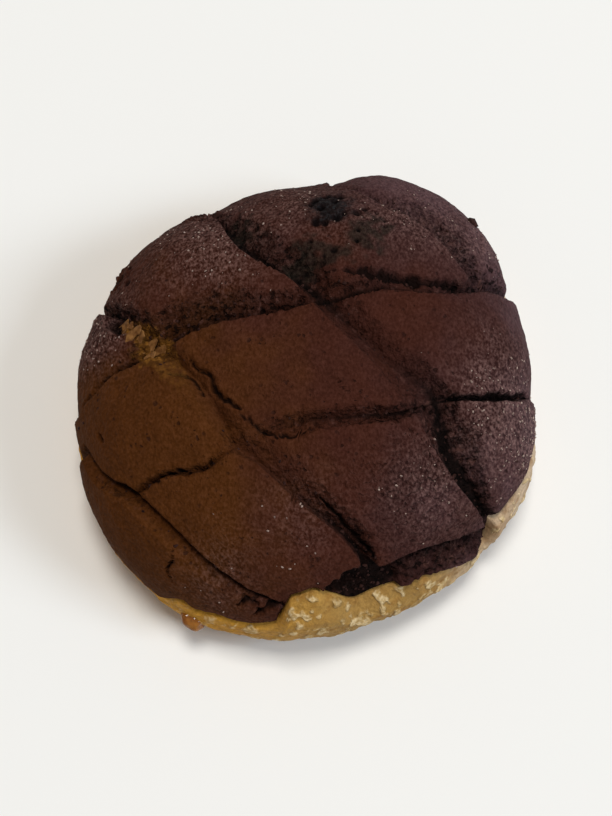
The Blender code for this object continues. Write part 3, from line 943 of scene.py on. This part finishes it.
def crumb_pits(points, crumbly):
    """Round pits of many sizes, from 0 to 1, where the crust is crumbly."""
    pits = np.zeros(len(points))
    for size, widest in ((2.2, 0.5), (1.4, 0.5)):
        chosen = np.flatnonzero(crumbly > 0.1)
        for i, place in zip(chosen.tolist(), (points[chosen] / size).tolist()):
            distances, centres = noise.voronoi(place)
            width = widest * (0.35 + 0.65 * noise.cell(centres[0] * 9))
            pits[i] = max(pits[i], 1 - distances[0] / max(width, 0.05))
    return pits * crumbly


def crust_relief(points, share, gap, frost):
    """Depths of the crust's outer face below the envelope, and what its points carry."""
    cuts, sag, values = score_cuts(points)
    broken = values["crumbly"]
    values["pit"] = crumb_pits(points, broken)
    crumbs = layered(points, CRUMB_NOISE)
    skin = layered(points, SKIN_NOISE) + (0.03 + 0.09 * frost) * lumps(points, 0.95, 10)
    sag = sag + spots(points, DIPS)
    depth = sag + cuts - skin - 1.6 * broken * crumbs + 1.5 * values["pit"]
    edge = np.clip(1 - gap / RIM_ROUND, 0, 1)
    depth = depth + RIM_ROUND * (1 - np.sqrt(1 - edge**2))
    return np.minimum(depth, crust_depth(share) - LEAST_WALL), values


def cookie_crust():
    """The crust: a dome of cookie dough, scored into slanting panels. Returns its outer face's points, their
    normals, and what they carry."""
    share, bearing, faces, index = disc_grid(CRUST_CELLS)
    share, bearing = gathered(share, bearing)
    rim = rim_turn(bearing)
    turn = share * rim
    points = envelope(turn, bearing)
    normal = envelope_normal(turn, bearing)
    gap = (1 - share) * rim * np.pi / 180 * WAIST_RADIUS
    looks = crust_looks(points)
    depth, values = crust_relief(points, share, gap, looks["frost"])
    values |= looks
    outer = points - normal * depth[:, None]
    inside = index[::UNDERSIDE_STRIDE, ::UNDERSIDE_STRIDE].ravel()
    under = points[inside] - normal[inside] * crust_depth(share[inside])[:, None]
    _, _, inner_faces, inner_index = disc_grid(CRUST_CELLS // UNDERSIDE_STRIDE)
    below = len(share)
    closing = rim_faces(border(index), border(inner_index) + below)
    everything = [*split_evenly(faces, depth), *(inner_faces + below), *closing]
    carried = {key: np.concatenate([number, number[inside]]) for key, number in values.items()}
    skin = np.vstack([outer, under])
    crust = make_piece("cookie_crust_skin", skin, everything, crust_look(), carried)
    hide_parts("cookie_crust")
    return outer, normal, values


def bread_profile(bearing, rim):
    """The bread's rings from crown to foot: turns, and offsets from the envelope."""
    edge, _, _ = score_cuts(envelope(SUNK_EDGE * rim, bearing))
    least, most = SUNK_DEPTHS
    sunk = np.clip(edge - least, 0, most) * np.exp(-(((bearing - SUNK_BEARING) / SUNK_WIDTH) ** 2))
    sunk = np.mean([np.roll(sunk, shift) for shift in range(-SUNK_BLUR, SUNK_BLUR + 1)], axis=0)
    swell = BREAD_BULGE * np.exp(-((from_front(bearing) / BULGE_WIDTH) ** 2))
    place, width, dent = DENT
    swell = swell - dent * np.exp(-(((bearing - place) / width) ** 2))
    turns, offsets = [], []
    for share in COVERED_SHARES:
        turns.append(share * rim)
        offsets.append(np.full(BREAD_COLUMNS, -(crust_depth(share) + CRUST_GAP)))
    for step in np.concatenate([np.arange(*steps) for steps in BARE_STEPS]):
        level = np.interp(step, *zip(*BARE_PROFILE))
        turns.append(rim + step)
        offsets.append(level + swell * ease(step, 3, 16) - sunk * ease(step, 13, 3))
    last = turns[-1]
    for share in np.linspace(0, 1, FOOT_RINGS + 1)[1:]:
        turns.append(last + (FOOT_TURN - last) * share)
        offsets.append(swell * np.cos(share * np.pi / 2))
    return turns, offsets


def bread_ring(turn, offset, bearing, rim):
    """One ring of the bread, with its bumps, its torn edge and its flakes, and how flaky it is."""
    level = envelope(turn, bearing)
    free = ease(turn, rim + 1.2, rim + 3.5) * ease(level[:, 2], 0.3, 4)
    bumps = layered(level, BREAD_NOISE)
    torn = free * ease(turn, rim + 9, rim + 2) * 0.6 * np.abs(lumps(level, 2.6, 34))
    flake = ease(layered(level, DOUGH_NOISE), 0.05, 0.6) * free * ease(from_front(bearing - 22), 80, 30)
    height = offset + free * bumps + torn + 0.3 * flake
    return level + envelope_normal(turn, bearing) * height[:, None], flake


def bread_bun():
    """The bread: it fills the crust and swells out below the crust's edge."""
    bearing = np.linspace(-180, 180, BREAD_COLUMNS, endpoint=False)
    rim = rim_turn(bearing)
    rings = [bread_ring(turn, offset, bearing, rim) for turn, offset in zip(*bread_profile(bearing, rim))]
    levels, flaky = zip(*rings)
    levels[-1][:, 2] = 0.0
    start = [1 + level * BREAD_COLUMNS for level in range(len(levels))]
    column = np.arange(BREAD_COLUMNS)
    after = (column + 1) % BREAD_COLUMNS
    crown = [[0, 0, BUN_HEIGHT - CRUST_THICKNESS - CRUST_GAP]]
    points = np.vstack([crown, *levels, [[0, 0, 0]]])
    faces = [(0, 1 + s, 1 + after[s]) for s in column]
    for top, low in zip(start, start[1:]):
        faces += np.stack([top + column, low + column, low + after, top + after], axis=1).tolist()
    faces += [(len(points) - 1, start[-1] + after[s], start[-1] + s) for s in column]
    values = {"flaky": np.concatenate([[0], *flaky, [0]])}
    bread = make_piece("bread_skin", points, faces, bread_look(), values)
    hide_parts("bread_bun")


def grain(radius, seed, squash, fineness, uneven):
    """A closed grain about the origin: its points and faces."""
    shape = bmesh.new()
    bmesh.ops.create_icosphere(shape, subdivisions=fineness, radius=1)
    points = np.array([vertex.co for vertex in shape.verts])
    faces = np.array([[vertex.index for vertex in face.verts] for face in shape.faces])
    shape.free()
    size = radius * (1 + uneven * lumps(points, 0.8, seed))
    return points * size[:, None] * (1.2, 0.85, squash), faces


def tilted(points, normal, spin):
    """Points turned so that their Z axis follows the normal."""
    up = Vector(normal).to_track_quat("Z", "Y").to_matrix()
    turn = np.array(up) @ [[np.cos(spin), -np.sin(spin), 0], [np.sin(spin), np.cos(spin), 0], [0, 0, 1]]
    return points @ turn.T


def coarse_grain(radius, seed):
    """A flattened grain with few sides."""
    return grain(radius, seed, squash=0.8, fineness=1, uneven=0.6)


def plate(radius, seed):
    """A closed, thin, torn plate about the origin, a little bent: its points and faces."""
    angle = np.linspace(0, 2 * np.pi, PLATE_CORNERS, endpoint=False)
    ring = np.stack([np.cos(angle), np.sin(angle), 0 * angle], axis=1)
    edge = radius * ring * (1 + 0.7 * lumps(ring, 0.8, seed))[:, None] * (1.3, 0.8, 1)
    edge[:, 2] = PLATE_BEND * (edge[:, 0] ** 2 - edge[:, 1] ** 2) / radius
    half = (0, 0, 0.5 * PLATE_THICKNESS)
    upper = edge * (PLATE_BEVEL, PLATE_BEVEL, 1) + half
    points = np.vstack([upper, edge - half, half, np.negative(half)])
    top, bottom = 2 * PLATE_CORNERS, 2 * PLATE_CORNERS + 1
    faces = []
    for start in range(PLATE_CORNERS):
        after = (start + 1) % PLATE_CORNERS
        low_start, low_after = start + PLATE_CORNERS, after + PLATE_CORNERS
        faces += [(top, start, after), (bottom, low_after, low_start)]
        faces += [(start, low_start, low_after), (start, low_after, after)]
    return points, np.array(faces)


def scattered(name, shape, places, normals, radii, lift, material):
    """Grains or plates sitting at these places, as one mesh."""
    chance = np.random.default_rng(len(places))
    points, faces, count = [], [], 0
    for i, (place, normal, radius) in enumerate(zip(places, normals, radii)):
        corners, sides = shape(radius, i)
        points.append(tilted(corners, normal, chance.uniform(0, FULL_SPIN)) + place + normal * lift * radius)
        faces += (sides + count).tolist()
        count += len(corners)
    piece = make_piece(name, np.vstack(points), faces, material)
    piece.data.shade_flat()


def nearest_places(outer, places):
    """The crust's points nearest to these plan places."""
    return [int(((outer[:, 0] - x) ** 2 + (outer[:, 1] - y) ** 2).argmin()) for x, y in places]


def many_radii(chance, count, radii):
    """Radii that are mostly near the least."""
    least, more = radii
    return least + more * chance.random(count) ** 2


def scatter_all(outer, normal, values):
    """Crumbs in the scores, sugar grains on the crust, and flakes of bread in the tear."""
    chance = np.random.default_rng(SCATTER_SEED)
    likely = values["crumbly"] * (values["deep"] > 0.8) + 0.01 * (outer[:, 2] > 14)
    crumbs = chance.choice(len(outer), CRUMB_COUNT, replace=False, p=likely / likely.sum())
    crumbs = crumbs.tolist() + nearest_places(outer, CHIP_PLACES)
    radii = np.concatenate([many_radii(chance, CRUMB_COUNT, CRUMB_RADII), CHIP_RADII])
    dark = plain_look("dark_crumb", CRUMB_COLOURS, 0.9, 0.8)
    scattered("crumbs", coarse_grain, outer[crumbs], normal[crumbs], radii, CRUMB_LIFT, dark)
    likely = values["frost"] ** 2 * (values["deep"] < 0.5)
    sugar = chance.choice(len(outer), SUGAR_COUNT, replace=False, p=likely / likely.sum()).tolist()
    sugar += nearest_places(outer, LARGE_SUGAR_PLACES)
    radii = many_radii(chance, len(sugar), SUGAR_RADII)
    radii[SUGAR_COUNT:] = LARGE_SUGAR_RADIUS
    pale = plain_look("sugar_grain", SUGAR_COLOURS, 0.5, 0.5)
    scattered("sugar", coarse_grain, outer[sugar], normal[sugar], radii, SUGAR_LIFT, pale)
    flakes = nearest_places(outer, FLAKE_PLACES)
    least, more = FLAKE_RADII
    radii = least + more * chance.random(len(flakes))
    crisp = plain_look("bread_flake", FLAKE_COLOURS, 0.7, 1.2)
    lean = normal[flakes] + FLAKE_TILT * chance.standard_normal((len(flakes), 3))
    lean = lean / np.linalg.norm(lean, axis=1, keepdims=True)
    scattered("flakes", plate, outer[flakes], lean, radii, FLAKE_LIFT, crisp)


def syrup_drip():
    """A small clear drip of browned syrup at the front edge of the crust."""
    bearing, turn = (np.array([angle]) for angle in DRIP_PLACE)
    shape, faces = grain(1, 3, squash=1.0, fineness=4, uneven=0.2)
    place = envelope(turn, bearing)[0]
    normal = envelope_normal(turn, bearing)[0]
    points = tilted(shape * DRIP_SIZE, normal, np.radians(DRIP_SPIN)) + place + normal * DRIP_LIFT
    look = Look("syrup", 0.12, 0.5)
    look.shader.inputs["Transmission Weight"].default_value = 0.5
    colour = look.mix(look.rise(look.swing(2, 2, 3), -0.6, 0.6), *SYRUP_COLOURS)
    make_piece("syrup_drip", points, faces, look.finish(colour, look.bump(look.lumps(1.5), 0.1)))


def stage():
    """A plain pale floor, soft light, and the camera."""
    bpy.ops.mesh.primitive_plane_add(size=FLOOR_SIZE)
    floor = bpy.context.object
    floor.name = "floor"
    look = Look("floor", 1.0, 0.0)
    look.shader.inputs["Base Color"].default_value = FLOOR_COLOUR
    floor.data.materials.append(look.material)
    scene = bpy.context.scene
    scene.view_settings.view_transform = "Standard"
    world = bpy.data.worlds.new("soft_room")
    world.use_nodes = True
    world.node_tree.nodes["Background"].inputs["Color"].default_value = (*ROOM_TINT, 1)
    world.node_tree.nodes["Background"].inputs["Strength"].default_value = ROOM_SHARE
    scene.world = world
    for light in LIGHTS:
        add_light(*light)
    add_camera()


def aimed(data, place, way):
    """A light or a camera at this place, looking this way."""
    piece = bpy.data.objects.new(data.name, data)
    piece.location = place
    piece.rotation_euler = way.to_track_quat("-Z", "Y").to_euler()
    bpy.context.scene.collection.objects.link(piece)
    return piece


def add_light(name, bearing, elevation, distance, size, share, tint):
    """A square light that gives the floor this share of full brightness."""
    side, up = np.radians(bearing), np.radians(elevation)
    place = distance * Vector((np.cos(side) * np.cos(up), np.sin(side) * np.cos(up), np.sin(up)))
    data = bpy.data.lights.new(name, "AREA")
    data.size = size
    data.color = tint
    data.energy = share * np.pi**2 * distance**2 / np.sin(up)
    aimed(data, place, -place)


def add_camera():
    """Looks down at the bun from the front."""
    elevation = np.radians(CAMERA_ELEVATION)
    back = np.array([0, -np.cos(elevation), np.sin(elevation)])
    up = np.array([0, np.sin(elevation), np.cos(elevation)])
    target = np.array(CAMERA_TARGET) - CAMERA_DROP * up
    data = bpy.data.cameras.new("camera")
    data.lens = CAMERA_LENS
    data.clip_start = 0.01
    bpy.context.scene.camera = aimed(data, mm_to_world(target + CAMERA_DISTANCE * back), Vector(-back))


def main():
    bread_bun()
    outer, normal, values = cookie_crust()
    scatter_all(outer, normal, values)
    syrup_drip()
    stage()


main()
